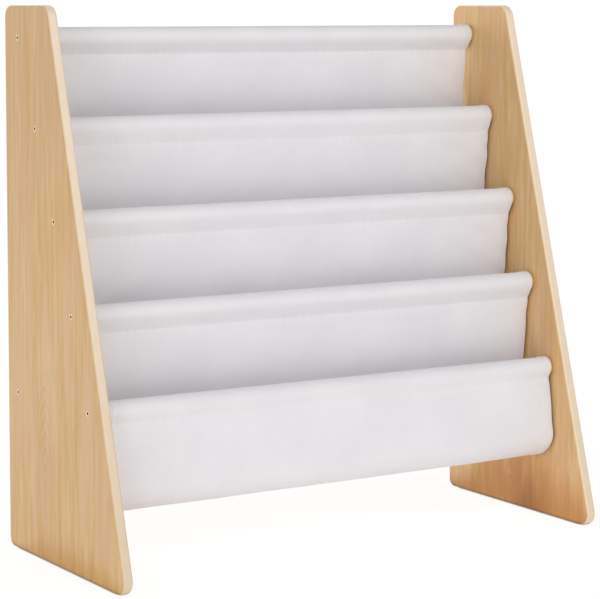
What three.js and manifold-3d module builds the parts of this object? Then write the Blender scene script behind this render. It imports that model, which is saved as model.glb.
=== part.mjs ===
// Sling bookshelf for a child's room: two slanted wooden side panels, five round rods that carry
// a canvas sling as four hanging book pockets, a sixth rod low at the back, and one screw through
// each panel into each rod end.
// Millimetres, +Z up, front towards -Y. The origin is on the floor, at the middle of the footprint.

import * as THREE from 'three';
import { mergeVertices } from 'three/addons/utils/BufferGeometryUtils.js';
import Module from 'manifold-3d';

const wasm = await Module();
wasm.setup();

// Overall sizes

const overallWidth = 620;
const overallHeight = 603;

// Side panels: the back edge is upright and the front edge slants back to a shallow top.
// Both depths are taken before the corners are rounded.

const panelThickness = 12;
const panelFootDepth = 278;
const panelTopDepth = 105;
const panelEdgeRound = 3;
const topBackRadius = 13;
const topFrontRadius = 16;
const bottomFrontRadius = 15;
const bottomBackRadius = 10;

// Rods: the sling rods stand one pitch apart in height and step forward from top to bottom

const rodRadius = 10;
const topRodDrop = 35;
const topRodSetback = 33;
const lowestRodHeight = 179;
const lowestRodInset = 31.5;
const rodForwardShares = [0, 0.255, 0.525, 0.77, 1];
const backRodHeight = 177;
const backRodSetback = 26.5;

// Screws: countersunk heads with a hexagonal socket

const screwHeadRadius = 3.7;
const screwHeadDepth = 2.2;
const screwShankRadius = 2;
const screwEngagement = 28;
const screwTipLength = 4;
const screwTipRadius = 0.5;
const socketRadius = 1.8;
const socketDepth = 1.6;
const socketSides = 6;

// Canvas: each rod runs in a tunnel that a seam closes below it, and a pocket hangs from seam to seam

const clothThickness = 1.5;
const clothEndGap = 3;
const tunnelEase = 0.5;
const seamBelowRod = 6;
const lowestSeamBelowRod = 0.85;
const seamForwardShares = [0, 0.42, 0.3, 0.2, 0.575];
const pocketDrop = 106;
const bellyHeight = 35;
const wallLean = 14;
const wallGap = 2.5;
const lowestPocketWidth = 66;
const bellySag = 2;

// Clearance between pieces that touch, and how far a cutter runs past the face that it opens

const fitGap = 0.3;
const cutOverrun = 1;

// Facets

const cornerSegments = 8;
const edgeSegments = 4;
const rodSides = 32;
const screwSides = 16;
const tunnelSegments = 20;
const bellySegments = 8;
const lengthSegments = 6;

// Colours

const mapleColour = 0xdcbb8d;
const dowelColour = 0xd9b587;
const canvasColour = 0xe6e3e8;
const screwColour = 0xb9b4ab;

// Derived places

const halfWidth = overallWidth / 2;
const innerHalfWidth = halfWidth - panelThickness;
const rodHalfLength = innerHalfWidth - fitGap;
const clothHalfLength = innerHalfWidth - clothEndGap;
const tunnelInnerRadius = rodRadius + tunnelEase;
const tunnelOuterRadius = tunnelInnerRadius + clothThickness;

// The rounded foot stops short of the panel's sharp front corner, and the origin is midway between
// the rounded foot and the back edge
const footAngle = Math.atan2(overallHeight, panelFootDepth - panelTopDepth);
const footRoundedOff = bottomFrontRadius / Math.tan(footAngle / 2) - bottomFrontRadius;
const backY = (panelFootDepth - footRoundedOff) / 2;
const footFrontY = backY - panelFootDepth;
const topFrontY = backY - panelTopDepth;

// y of the panels' slanted front edge at a height
function frontEdgeY(z) {
  return THREE.MathUtils.mapLinear(z, 0, overallHeight, footFrontY, topFrontY);
}

// Rod axes as points (y, z), from the top rod to the lowest
const slingRodCount = rodForwardShares.length;
const topRodZ = overallHeight - topRodDrop;
const rodPitch = (topRodZ - lowestRodHeight) / (slingRodCount - 1);
const topRodY = backY - topRodSetback;
const lowestRodY = frontEdgeY(lowestRodHeight) + lowestRodInset;
const slingRodAxes = rodForwardShares.map((forwardShare, i) => new THREE.Vector2(
  THREE.MathUtils.lerp(topRodY, lowestRodY, forwardShare),
  topRodZ - i * rodPitch,
));
const backRodAxis = new THREE.Vector2(backY - backRodSetback, backRodHeight);
const rodAxes = [...slingRodAxes, backRodAxis];

// Solids

// A geometry as a solid that can be joined and cut
function solidOf(geometry) {
  const bare = geometry.clone();
  bare.deleteAttribute('normal');
  bare.deleteAttribute('uv');
  const merged = mergeVertices(bare);
  return new wasm.Manifold(new wasm.Mesh({
    numProp: 3,
    vertProperties: new Float32Array(merged.attributes.position.array),
    triVerts: new Uint32Array(merged.index.array),
  }));
}

// A solid as a geometry with flat-shaded faces
function geometryOf(solid) {
  const mesh = solid.getMesh();
  const geometry = new THREE.BufferGeometry();
  geometry.setAttribute('position', new THREE.BufferAttribute(mesh.vertProperties, mesh.numProp));
  geometry.setIndex(new THREE.BufferAttribute(mesh.triVerts, 1));
  const flat = geometry.toNonIndexed();
  flat.computeVertexNormals();
  return flat;
}

// Turns a geometry modelled as (y, z, x) into (x, y, z), so that a (y, z) outline extrudes along X
const outlineToWorld = new THREE.Matrix4().makeBasis(
  new THREE.Vector3(0, 1, 0),
  new THREE.Vector3(0, 0, 1),
  new THREE.Vector3(1, 0, 0),
);

// An outline in (y, z) extruded along X between two stations
function prismAlongX(outline, startX, endX, steps = 1) {
  const geometry = new THREE.ExtrudeGeometry(outline, {
    depth: endX - startX,
    steps,
    curveSegments: tunnelSegments,
    bevelEnabled: false,
  });
  return geometry.translate(0, 0, startX).applyMatrix4(outlineToWorld);
}

// A round bar along X about an axis point (y, z)
function barAlongX(axis, radius, length, middleX, sides) {
  const geometry = new THREE.CylinderGeometry(radius, radius, length, sides);
  return geometry.rotateZ(Math.PI / 2).translate(middleX, axis.x, axis.y);
}

// Side panels

// A closed outline with every corner rounded; corners run anticlockwise
function roundedOutline(corners) {
  const outline = new THREE.Shape();
  corners.forEach(({ point, radius }, i) => {
    const previous = corners.at(i - 1).point;
    const next = corners[(i + 1) % corners.length].point;
    const toPrevious = previous.clone().sub(point).normalize();
    const toNext = next.clone().sub(point).normalize();
    const halfAngle = Math.acos(toPrevious.dot(toNext)) / 2;
    const centre = toPrevious.clone().add(toNext).normalize()
      .multiplyScalar(radius / Math.sin(halfAngle)).add(point);
    const reach = radius / Math.tan(halfAngle);
    const start = toPrevious.clone().multiplyScalar(reach).add(point).sub(centre);
    const end = toNext.clone().multiplyScalar(reach).add(point).sub(centre);
    outline.absarc(centre.x, centre.y, radius, start.angle(), end.angle(), false);
  });
  outline.closePath();
  return outline;
}

function panelSlab(startX) {
  const outline = roundedOutline([
    { point: new THREE.Vector2(footFrontY, 0), radius: bottomFrontRadius },
    { point: new THREE.Vector2(backY, 0), radius: bottomBackRadius },
    { point: new THREE.Vector2(backY, overallHeight), radius: topBackRadius },
    { point: new THREE.Vector2(topFrontY, overallHeight), radius: topFrontRadius },
  ]);
  const slab = new THREE.ExtrudeGeometry(outline, {
    depth: panelThickness - 2 * panelEdgeRound,
    curveSegments: cornerSegments,
    bevelThickness: panelEdgeRound,
    bevelSize: panelEdgeRound,
    bevelOffset: -panelEdgeRound,
    bevelSegments: edgeSegments,
  });
  return slab.translate(0, 0, startX + panelEdgeRound).applyMatrix4(outlineToWorld);
}

// A revolved profile of (radius, depth) points, laid along X from a panel's outer face inwards.
// side is -1 for the left panel and 1 for the right.
function turnedInwards(profile, sides, axis, side) {
  const points = profile.map(([radius, depth]) => new THREE.Vector2(radius, -depth));
  const geometry = new THREE.LatheGeometry(points.reverse(), sides);
  return geometry.rotateZ(-side * Math.PI / 2).translate(side * halfWidth, axis.x, axis.y);
}

// The countersunk hole that a screw passes through
function screwHole(axis, side) {
  const headRadius = screwHeadRadius + fitGap;
  const shankRadius = screwShankRadius + fitGap;
  return turnedInwards([
    [0, -cutOverrun],
    [headRadius, -cutOverrun],
    [headRadius, 0],
    [shankRadius, screwHeadDepth],
    [shankRadius, panelThickness + cutOverrun],
    [0, panelThickness + cutOverrun],
  ], screwSides, axis, side);
}

function sidePanel(side) {
  const startX = side < 0 ? -halfWidth : innerHalfWidth;
  let panel = solidOf(panelSlab(startX));
  for (const axis of rodAxes) {
    panel = panel.subtract(solidOf(screwHole(axis, side)));
  }
  return geometryOf(panel);
}

// Rods

// A dowel with a pilot bore in each end
function rod(axis) {
  let dowel = solidOf(barAlongX(axis, rodRadius, 2 * rodHalfLength, 0, rodSides));
  const boreRadius = screwShankRadius + fitGap;
  const boreDepth = screwEngagement + fitGap;
  for (const side of [-1, 1]) {
    const bore = barAlongX(axis, boreRadius, 2 * boreDepth, side * innerHalfWidth, screwSides);
    dowel = dowel.subtract(solidOf(bore));
  }
  return geometryOf(dowel);
}

// Screws

function screw(axis, side) {
  const length = panelThickness + screwEngagement;
  const body = turnedInwards([
    [0, 0],
    [screwHeadRadius, 0],
    [screwShankRadius, screwHeadDepth],
    [screwShankRadius, length - screwTipLength],
    [screwTipRadius, length],
    [0, length],
  ], screwSides, axis, side);
  const socket = turnedInwards([
    [0, -cutOverrun],
    [socketRadius, -cutOverrun],
    [socketRadius, socketDepth],
    [0, socketDepth],
  ], socketSides, axis, side);
  return geometryOf(solidOf(body).subtract(solidOf(socket)));
}

// Canvas sling

// The seam that closes a rod's tunnel, as the point (y, z) where its two layers come together;
// it is tightest at the lowest rod
function seamPoint(rodIndex) {
  const forward = seamForwardShares[rodIndex] * rodRadius;
  const below = rodIndex === slingRodCount - 1 ? lowestSeamBelowRod : seamBelowRod;
  return slingRodAxes[rodIndex].clone().sub(new THREE.Vector2(forward, rodRadius + below));
}

// Half the angle between a tunnel's two layers at its seam
function seamHalfAngle(rodIndex) {
  return Math.asin(tunnelInnerRadius / seamPoint(rodIndex).distanceTo(slingRodAxes[rodIndex]));
}

// The tip of a drop drawn round a rod at a radius, in the direction of its seam
function dropTip(rodIndex, radius) {
  const axis = slingRodAxes[rodIndex];
  const reach = radius / Math.sin(seamHalfAngle(rodIndex));
  return seamPoint(rodIndex).sub(axis).setLength(reach).add(axis);
}

// A drop in (y, z): an arc round a rod and the two tangents from its ends to the tip
function addDrop(outline, rodIndex, radius) {
  const axis = slingRodAxes[rodIndex];
  const tip = dropTip(rodIndex, radius);
  const tipAngle = tip.clone().sub(axis).angle();
  const tangentTurn = Math.PI / 2 - seamHalfAngle(rodIndex);
  outline.absarc(axis.x, axis.y, radius, tipAngle + tangentTurn, tipAngle - tangentTurn, false);
  outline.lineTo(tip.x, tip.y);
  outline.closePath();
  return outline;
}

// The tunnel that a rod runs in
function tunnel(rodIndex) {
  const outline = addDrop(new THREE.Shape(), rodIndex, tunnelOuterRadius);
  outline.holes.push(addDrop(new THREE.Path(), rodIndex, tunnelInnerRadius));
  return solidOf(prismAlongX(outline, -clothHalfLength, clothHalfLength));
}

// Where a wall that hangs from a tunnel starts, in the middle of the cloth at the tunnel's tip
function wallTop(rodIndex) {
  return dropTip(rodIndex, tunnelInnerRadius + clothThickness / 2);
}

// The height at which a pocket is widest, above the round of its belly
function bellyLevel(pocket) {
  return slingRodAxes[pocket + 1].y - pocketDrop + bellyHeight;
}

// The middle of a pocket's back wall at a height: it leans back from its seam down to its belly
function backWallY(pocket, z) {
  const top = wallTop(pocket);
  return THREE.MathUtils.mapLinear(z, top.y, bellyLevel(pocket), top.x, top.x + wallLean);
}

// The two ends of a pocket's front wall, as points (y, z) in the middle of the cloth.
// The lowest pocket hangs from the tunnel in front of it; the others are sewn to the back of the
// next pocket's back wall, just below its tunnel, and hang behind that wall.
function frontWall(pocket) {
  const level = bellyLevel(pocket);
  const frontRod = pocket + 1;
  if (frontRod === slingRodCount - 1) {
    const footY = backWallY(pocket, level) - (lowestPocketWidth - clothThickness);
    return { foot: new THREE.Vector2(footY, level), top: wallTop(frontRod) };
  }
  const topZ = dropTip(frontRod, tunnelOuterRadius).y - fitGap;
  return {
    foot: new THREE.Vector2(backWallY(frontRod, level) + clothThickness + wallGap, level),
    top: new THREE.Vector2(backWallY(frontRod, topZ) + clothThickness + fitGap, topZ),
  };
}

// The middle of a pocket's cloth in (y, z): down the back wall, round the belly and up the front wall
function pocketLine(pocket) {
  const quarterCircleShare = 0.5523;
  const backTop = wallTop(pocket);
  const backFoot = new THREE.Vector2(backWallY(pocket, bellyLevel(pocket)), bellyLevel(pocket));
  const { foot: frontFoot, top: frontTop } = frontWall(pocket);
  const belly = new THREE.Vector2(
    (backFoot.x + frontFoot.x) / 2,
    bellyLevel(pocket) - bellyHeight + clothThickness / 2,
  );
  const drop = (backFoot.y - belly.y) * quarterCircleShare;
  const swing = (backFoot.x - belly.x) * quarterCircleShare;
  const backPull = backFoot.clone().sub(backTop).setLength(drop).add(backFoot);
  const frontPull = frontFoot.clone().sub(frontTop).setLength(drop).add(frontFoot);
  const line = new THREE.Path();
  line.moveTo(backTop.x, backTop.y);
  line.lineTo(backFoot.x, backFoot.y);
  line.bezierCurveTo(backPull.x, backPull.y, belly.x + swing, belly.y, belly.x, belly.y);
  line.bezierCurveTo(belly.x - swing, belly.y, frontPull.x, frontPull.y, frontFoot.x, frontFoot.y);
  line.lineTo(frontTop.x, frontTop.y);
  return line.getPoints(bellySegments);
}

// The outline of a strip of cloth whose middle follows a line of points
function stripOutline(points) {
  const normals = points.map((point, i) => {
    const along = points[Math.min(i + 1, points.length - 1)].clone().sub(points[Math.max(i - 1, 0)]);
    return new THREE.Vector2(-along.y, along.x).setLength(clothThickness / 2);
  });
  const left = points.map((point, i) => point.clone().add(normals[i]));
  const right = points.map((point, i) => point.clone().sub(normals[i]));
  return new THREE.Shape([...left, ...right.reverse()]);
}

// A pocket's two walls and belly, which sag along the sling's length between the side panels
function pocketCloth(pocket) {
  const cloth = prismAlongX(
    stripOutline(pocketLine(pocket)),
    -clothHalfLength,
    clothHalfLength,
    lengthSegments,
  );
  const position = cloth.attributes.position;
  const heldZ = frontWall(pocket).top.y;
  const freeZ = bellyLevel(pocket);
  for (let i = 0; i < position.count; i += 1) {
    const z = position.getZ(i);
    const freedom = THREE.MathUtils.clamp(THREE.MathUtils.inverseLerp(heldZ, freeZ, z), 0, 1);
    const middle = 1 - (position.getX(i) / clothHalfLength) ** 2;
    position.setZ(i, z - bellySag * middle * freedom);
  }
  return solidOf(cloth);
}

// One pocket with the tunnel of its back rod; the lowest pocket also carries its front rod's tunnel
function slingPocket(pocket) {
  let cloth = pocketCloth(pocket).add(tunnel(pocket));
  if (pocket + 1 === slingRodCount - 1) {
    cloth = cloth.add(tunnel(pocket + 1));
  }
  return geometryOf(cloth);
}

// Assembly

const maple = new THREE.MeshStandardMaterial({ color: mapleColour, roughness: 0.55, metalness: 0 });
const dowelWood = new THREE.MeshStandardMaterial({ color: dowelColour, roughness: 0.6, metalness: 0 });
const canvas = new THREE.MeshStandardMaterial({ color: canvasColour, roughness: 0.9, metalness: 0 });
const zinc = new THREE.MeshStandardMaterial({ color: screwColour, roughness: 0.35, metalness: 0.9 });

function addPiece(group, name, geometry, material) {
  const piece = new THREE.Mesh(geometry, material.clone());
  piece.name = name;
  group.add(piece);
}

const bookshelf = new THREE.Group();
const frame = new THREE.Group();
const sling = new THREE.Group();
const screws = new THREE.Group();
bookshelf.add(frame, sling, screws);

addPiece(frame, 'side_panel_left', sidePanel(-1), maple);
addPiece(frame, 'side_panel_right', sidePanel(1), maple);
slingRodAxes.forEach((axis, i) => addPiece(frame, `sling_rod_${i + 1}`, rod(axis), dowelWood));
addPiece(frame, 'lower_back_rod', rod(backRodAxis), dowelWood);
for (let pocket = 0; pocket < slingRodCount - 1; pocket += 1) {
  addPiece(sling, `sling_pocket_${pocket + 1}`, slingPocket(pocket), canvas);
}
rodAxes.forEach((axis, i) => {
  addPiece(screws, `screw_left_${i + 1}`, screw(axis, -1), zinc);
  addPiece(screws, `screw_right_${i + 1}`, screw(axis, 1), zinc);
});

export default bookshelf;
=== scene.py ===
"""Looks of a child's sling bookshelf: two maple side panels, round rods and a white canvas sling
with four hanging pockets, on a pale studio floor. Metres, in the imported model's own frame."""

import math

import bpy
import numpy as np
from mathutils import Matrix, Vector


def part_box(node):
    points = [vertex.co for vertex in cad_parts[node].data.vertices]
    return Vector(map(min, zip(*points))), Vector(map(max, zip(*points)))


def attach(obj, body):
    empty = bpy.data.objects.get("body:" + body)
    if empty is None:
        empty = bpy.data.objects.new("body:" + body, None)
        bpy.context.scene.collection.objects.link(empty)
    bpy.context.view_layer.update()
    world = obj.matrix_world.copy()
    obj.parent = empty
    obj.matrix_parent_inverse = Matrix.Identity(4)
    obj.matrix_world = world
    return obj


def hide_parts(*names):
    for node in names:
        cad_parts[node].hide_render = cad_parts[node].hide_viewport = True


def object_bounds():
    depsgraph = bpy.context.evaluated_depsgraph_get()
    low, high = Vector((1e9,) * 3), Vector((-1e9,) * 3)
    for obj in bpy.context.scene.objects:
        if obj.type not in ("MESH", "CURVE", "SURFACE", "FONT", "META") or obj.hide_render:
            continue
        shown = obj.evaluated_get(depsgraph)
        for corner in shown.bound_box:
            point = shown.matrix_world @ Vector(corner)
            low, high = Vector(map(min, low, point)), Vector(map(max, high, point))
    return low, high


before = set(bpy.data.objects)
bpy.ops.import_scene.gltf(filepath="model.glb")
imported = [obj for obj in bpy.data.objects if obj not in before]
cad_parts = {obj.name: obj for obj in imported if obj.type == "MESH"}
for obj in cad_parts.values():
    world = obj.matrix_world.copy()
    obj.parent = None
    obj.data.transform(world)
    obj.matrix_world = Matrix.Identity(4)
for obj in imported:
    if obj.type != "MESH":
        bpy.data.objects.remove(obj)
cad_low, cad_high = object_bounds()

MM = 0.001

# Camera, solved from the straight edges of both side panels

IMAGE_WIDTH = 600
IMAGE_HEIGHT = 599
CAMERA_PLACE = (-1.3588, -2.1294, 0.6019)
CAMERA_TURN = 0.5448
CAMERA_DOWN = 0.0978
CAMERA_ROLL = 0.0001
FOCAL_PIXELS = 2248.8
VIEW_CENTRE_PIXELS = (256.6, 226.9)
SENSOR_WIDTH_MM = 36
CAMERA_REACH = 100

# Canvas, measured along and through the cloth

CLOTH_THICKNESS = 0.9 * MM
TUNNEL_EASE = 0.5 * MM
TUNNEL_STEPS = 60
SEAM_BELOW_ROD = (6 * MM, 6 * MM, 6 * MM, 6 * MM, 0.85 * MM)
SEAM_FORWARD_SHARES = (0, 0.42, 0.3, 0.2, 0.575)
SEAM_LAP = 9 * MM
STITCH_BELOW_TIP = (2.6 * MM, 2.6 * MM, 2.6 * MM, 2.6 * MM, 1.5 * MM)
POCKET_DROP = 106 * MM
BELLY_HEIGHT = 35 * MM
WALL_LEAN = 14 * MM
WALL_GAP = 2.5 * MM
LOWEST_POCKET_WIDTH = 66 * MM
BELLY_SAG = 2 * MM
LOWEST_SAG, LOWEST_LEFT_SAG = 1.9 * MM, 3.6 * MM
CAD_CLOTH_THICKNESS = 1.5 * MM
CAD_GAP = 0.3 * MM
LAYER_GAP = 0.05 * MM
HEM_WIDTH = 10.5 * MM
HEM_STITCH_INSET = 8.6 * MM
HEM_EXTRA = 0.6 * MM
HEM_SLOPE = 0.5 * MM
HEM_END_SLOPE = 2 * MM
LAP_END_SLOPE = 3 * MM
SEAM_FLAT_REACH, SEAM_SLOPE_REACH = 3 * MM, 6 * MM
CREASE_SOFTNESS = 1.3 * MM
LINE_STEP = 0.4 * MM
STITCH_GROOVE = 0.14 * MM
GROOVE_HALF_WIDTH = 0.8 * MM

# Distance between rows and between columns of the cloth's mesh, and how much less it is, and how
# far round them, beside a seam, a hem's stitches or an edge

ROW_SPACING, ROW_NARROWING = 4 * MM, 3.5 * MM
COLUMN_SPACING, COLUMN_NARROWING = 2.8 * MM, 2.5 * MM
SEAM_FINE_REACH = 5 * MM
HEM_FINE_REACH = 2.2 * MM
EDGE_FINE_REACH = 1.2 * MM

# How the canvas gives: height, pitch and reach of its puckers, waves and pulls, and how far from
# a rod it is held still and free

PUCKER_HEIGHT = 0.16 * MM
PUCKER_PITCH = 9 * MM
PUCKER_REACH = 7 * MM
WAVE_HEIGHT = 0.45 * MM
WAVE_PITCH = 95 * MM
WAVE_STRETCH_SHARES = (1, 0.6, 0.7)
END_PULL_HEIGHT = 0.5 * MM
END_PULL_PITCH = 42 * MM
END_PULL_REACH = 45 * MM
END_PULL_SLOPE = 0.6
END_PULL_COUNT = 4
PUCKER_SEED, WAVE_SEED, END_PULL_SEED = 11, 12, 13
WAVELENGTH_SHARES = (0.75, 1.4)
HELD_REACH, FREE_REACH = 2 * MM, 30 * MM

# Thread; its height and bow are in thread radii

STITCH_LENGTH = 2.7 * MM
STITCH_PITCH = 3.3 * MM
THREAD_RADIUS = 0.22 * MM
THREAD_HEIGHT, THREAD_BOW = 0.75, 1.5
STITCH_END_INSET = 2 * MM
WALL_END_STITCH = 1.6 * MM

# The sling's pieces, the name of its UV map and the two faces of its cloth

POCKETS = 4
RODS = 5
CLOTH_MAP = "cloth"
FRONT, BACK = 0, 1

# Finishes; colours are linear, a place on a board's face is (y, z), and a spot is its place and its
# half width and half height

LEFT_WOOD = {
    "place": (0.36, 0.03, 0.1),
    "pale": (0.725, 0.49, 0.24), "deep": (0.55, 0.32, 0.11), "pink": (0.685, 0.435, 0.25),
    "amber": (0.83, 0.69, 0.32), "amber_middle": -0.02, "amber_half_width": 0.135,
    "amber_height": 44 * MM, "deepest_shade": (0.97, 0.95, 0.92), "arris_highlight": 0.0,
    "top": (0.915, 0.885, 0.87), "top_from": 0.25, "top_to": 0.6,
    "edge_foot": (0.93, 0.91, 0.85), "figure": (0.045, 0.14),
    "warm_spots": (((0.077, 0.47), (0.015, 0.22)), ((-0.012, 0.385), (0.024, 0.085))),
    "pale_spots": (((0.035, 0.19), (0.038, 0.085)),),
}
# The right board is the same maple as the left; its tones differ, painted light that stands in for how
# its inner face is lit beside the sling
RIGHT_WOOD = {
    "place": (-0.25, -0.02, 0.3),
    "pale": (0.81, 0.55, 0.275), "deep": (0.59, 0.345, 0.12), "pink": (0.72, 0.44, 0.235),
    "amber": (0.70, 0.51, 0.285), "amber_middle": -0.02, "amber_half_width": 0.14,
    "amber_height": 120 * MM, "deepest_shade": (0.64, 0.52, 0.43), "arris_highlight": 0.5,
    "top": (0.955, 0.945, 0.94), "top_from": 0.15, "top_to": 0.3,
    "edge_foot": (0.97, 0.97, 0.93), "figure": (0.012, 0.045), "warm_spots": (), "pale_spots": (),
}
ROD_WOOD = {"place": (0.1, 0.02, 0.03), "pale": (0.73, 0.49, 0.235), "deep": (0.595, 0.36, 0.135),
            "pink": (0.70, 0.44, 0.25)}
BOARD_EDGE = (0.79, 0.655, 0.515)

# Layers of the grain: a noise's scale, stretch along the grain, detail and distortion, and the
# values of it that become 0 and 1; then how much each layer deepens the wood

GRAIN_LAYERS = {
    "bands": (55.0, 0.07, 2.0, 0.0, 0.36, 0.64),
    "tint": (38.0, 0.12, 2.0, 0.0, 0.36, 0.64),
    "streaks": (170.0, 0.06, 3.0, 0.4, 0.36, 0.64),
    "marks": (420.0, 0.09, 1.0, 0.0, 0.6, 0.74),
    "fibres": (650.0, 0.06, 2.0, 0.0, 0.36, 0.64),
    "warm": (30.0, 0.35, 2.0, 0.0, 0.5, 0.68),
}
GRAIN_DEPTHS = {"streaks": 0.36, "bands": 0.18, "marks": 0.2, "fibres": 0.2}
GRAIN_ROUGHNESS = 0.55
RING_DEPTH = 0.4
PINK_SHARE = 0.5
WARM_SHARE = 0.6
WARM_TONE = (1.0, 0.92, 0.78)
PALE_TONE = (1.03, 1.1, 1.14)
WOOD_ROUGHNESS = (0.36, 0.46)
WOOD_BUMP, WOOD_BUMP_STRENGTH = 0.03 * MM, 0.35
FIBRE_BUMP_SHARE = 0.5

# Boards only: growth rings, then tones by place; a range is the values that become 0 and 1

DRIFT_SCALE, DRIFT_STRETCH = 14.0, 0.06
RING_PITCH = 2.7 * MM
RING_WANDER = 3 * MM
RING_DEEPENING, RING_ENDING = (0.1, 0.8), (0.82, 1.0)
PITH_DEPTH = 4 * MM
LOG_TILT = 0.16
FIGURE_HALF_SIZE = (0.03, 0.11)
SPOT_CORE_SHARE = 0.3
NOISE_RANGE = (0.3, 0.7)
# Amber at a board's foot is partly the wood's own tone and, on the right board, partly painted shade from
# the sling; the deepest painted shade lies under the middle of the foot
AMBER_COLUMN_SCALE, AMBER_COLUMN_STRETCH, AMBER_COLUMN_DETAIL = 60.0, 0.2, 3.0
AMBER_HEIGHT_SHARES = (0.7, 1.3)
AMBER_CORE_SHARE, AMBER_SIDE_SHARE = 0.3, 0.2
FAR_FACE_SHARE = 0.45
DEEPEST_SHADE_MIDDLE, DEEPEST_SHADE_HALF_WIDTH, DEEPEST_SHADE_SHARPNESS = -0.025, 0.055, 3.0
EDGE_TONE_HEIGHT = 0.33
EDGE_GRAIN_SHARE = 0.3
EDGE_TO_FACE = (0.35, 0.99)
# Where the painted highlight lies on a board's arrises, and its colour
ARRIS_FROM_EDGE, ARRIS_TO_FACE = (0.2, 0.6), (0.7, 0.96)
ARRIS_HIGHLIGHT = (0.95, 0.76, 0.57)
# Painted shade along the foot of each board, darkest where it meets the floor
FOOT_SHADE_RANGE = (1.2 * MM, 4.4 * MM)
FOOT_SHADE = (0.5, 0.44, 0.4)

# Cloth and metal

CANVAS_PALE = (0.83, 0.82, 0.85)
CANVAS_DEEP = (0.80, 0.785, 0.82)
MOTTLE_SCALE, MOTTLE_DETAIL, MOTTLE_ROUGHNESS = 14.0, 3.0, 0.6
THREAD_PITCH = 0.55 * MM
CROSSING_SOFTNESS = 0.35
YARN_SCALE = (180.0, 1400.0, 1.0)
YARN_SHARE = 0.5
WEAVE_SHADES = (0.93, 1.0)
WEAVE_BUMP, WEAVE_BUMP_STRENGTH = 0.12 * MM, 0.45
THREAD_PALE = (0.86, 0.85, 0.86)
THREAD_DEEP = (0.74, 0.73, 0.75)
TWIST_SCALE = 160.0
TWIST_BUMP, TWIST_BUMP_STRENGTH = 0.05 * MM, 0.5
STEEL_PALE = (0.85, 0.67, 0.485)
STEEL_DEEP = (0.75, 0.585, 0.415)
# Painted shade down in a screw's driving socket, and the depths over which it fades
SOCKET_SHADE = (0.21, 0.085, 0.02)
SOCKET_DEEP, SOCKET_SHALLOW = 1.2 * MM, 0.3 * MM
CLOUD_SCALE, CLOUD_DETAIL, CLOUD_ROUGHNESS = 250.0, 3.0, 0.6
STEEL_ROUGHNESS = (0.27, 0.36)
TURNING_SCALE = 5000.0
STEEL_BUMP, STEEL_BUMP_STRENGTH = 0.02 * MM, 0.4
SMOOTH_ANGLE = math.radians(32)
MERGE_DISTANCE = 0.001 * MM

# Studio

LAMPS = {
    "key": {"place": (0.1, -3.3, 2.1), "size": 2.4, "power": 49},
    "fill": {"place": (-4.6, -2.5, 1.0), "size": 3.0, "power": 56},
    "back": {"place": (-0.8, 2.9, 0.9), "size": 2.0, "power": 42, "gloss": False},
}
AMBIENT = 0.46
WHITE = 1.02
FLOOR_HALF = 60
FLOOR_GAP = 0.2 * MM
FLOOR_COLOUR = (0.86, 0.85, 0.84)
# Glow of the floor, painted light that brightens the shelf from below
FLOOR_GLOW = 0.26
FLOOR_GLOW_COLOUR = (1.0, 0.96, 0.91)
FLOOR_SHOWN_COLOUR = (0.27, 0.265, 0.255)
FLOOR_LIFT = 0.82
CONTACT_WIDTH = 3.6 * MM
ARRIS_REACH = 3 * MM
FOOT_CORNER_REACH = 20 * MM
FLOOR_FADE_START = 0.45
FLOOR_FADE_END = 1.1


# The frame's own sizes

def rod_axis(number):
    """(y, z) of a sling rod's axis, rod 0 being the top one."""
    low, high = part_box(f"sling_rod_{number + 1}")
    return np.array([(low.y + high.y) / 2, (low.z + high.z) / 2])


ROD_RADIUS = (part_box("sling_rod_1")[1].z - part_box("sling_rod_1")[0].z) / 2
CLOTH_HALF_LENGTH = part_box("sling_pocket_1")[1].x
TUNNEL_RADIUS = ROD_RADIUS + TUNNEL_EASE
ROD_AXES = [rod_axis(i) for i in range(RODS)]


# Canvas: its line in (y, z)

def unit(v):
    return v / np.linalg.norm(v)


def seam_tip(rod, radius):
    """Where the two sides of a drop drawn round a rod at a radius meet, and the drop's half angle."""
    seam = -np.array([SEAM_FORWARD_SHARES[rod] * ROD_RADIUS, ROD_RADIUS + SEAM_BELOW_ROD[rod]])
    half_angle = math.asin(TUNNEL_RADIUS / np.linalg.norm(seam))
    return ROD_AXES[rod] + unit(seam) * radius / math.sin(half_angle), half_angle


def wall_top(rod):
    return seam_tip(rod, TUNNEL_RADIUS + CAD_CLOTH_THICKNESS / 2)[0]


def tunnel_line(rod):
    """From the tip up behind a rod, over it and down in front, without the tip itself."""
    radius = TUNNEL_RADIUS + CLOTH_THICKNESS / 2
    tip, half_angle = seam_tip(rod, radius)
    towards = tip - ROD_AXES[rod]
    start = math.atan2(towards[1], towards[0]) + math.pi / 2 - half_angle
    angles = np.linspace(start, start + math.pi + 2 * half_angle, TUNNEL_STEPS)
    return ROD_AXES[rod] + radius * np.stack([np.cos(angles), np.sin(angles)], 1)


def belly_level(pocket):
    return ROD_AXES[pocket + 1][1] - POCKET_DROP + BELLY_HEIGHT


def back_wall_y(pocket, z):
    top = wall_top(pocket)
    return top[0] + WALL_LEAN * (top[1] - z) / (top[1] - belly_level(pocket))


def front_wall(pocket):
    """(foot, top) of a pocket's front wall."""
    level = belly_level(pocket)
    if pocket == POCKETS - 1:
        foot_y = back_wall_y(pocket, level) - (LOWEST_POCKET_WIDTH - CAD_CLOTH_THICKNESS)
        return np.array([foot_y, level]), wall_top(pocket + 1)
    behind = back_wall_y(pocket + 1, level) + CAD_CLOTH_THICKNESS + WALL_GAP
    top_z = seam_tip(pocket + 1, TUNNEL_RADIUS + CAD_CLOTH_THICKNESS)[0][1] - CAD_GAP
    top_y = back_wall_y(pocket + 1, top_z) + 1.5 * CLOTH_THICKNESS + LAYER_GAP
    return np.array([behind, level]), np.array([top_y, top_z])


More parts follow.
